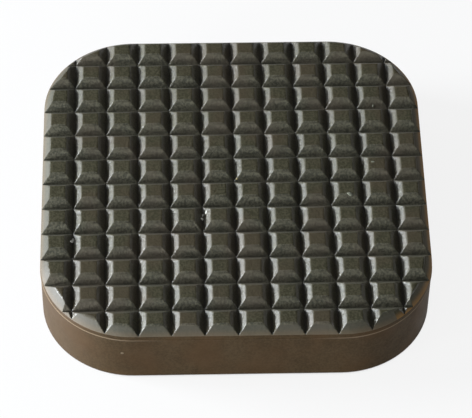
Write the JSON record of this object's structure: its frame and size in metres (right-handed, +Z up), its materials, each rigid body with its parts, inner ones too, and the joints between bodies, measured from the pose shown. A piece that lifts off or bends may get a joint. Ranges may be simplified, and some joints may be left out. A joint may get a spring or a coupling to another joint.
{
  "type": "jack saddle pad",
  "caption": "Square moulded rubber pad with rounded corners and a tread of flat-topped pyramids, set on a jack or lift saddle to cushion and grip the load.",
  "frame": {"origin": "middle of the flat underside", "axes": "+Z up out of the tread, +X to the right and +Y away from the viewer as the picture shows the pad"},
  "size_m": [0.12, 0.12, 0.0223],
  "materials": {
    "rubber": "satin, olive black"
  },
  "bodies": {
    "root": {"pad": "rubber"}
  },
  "joints": []
}
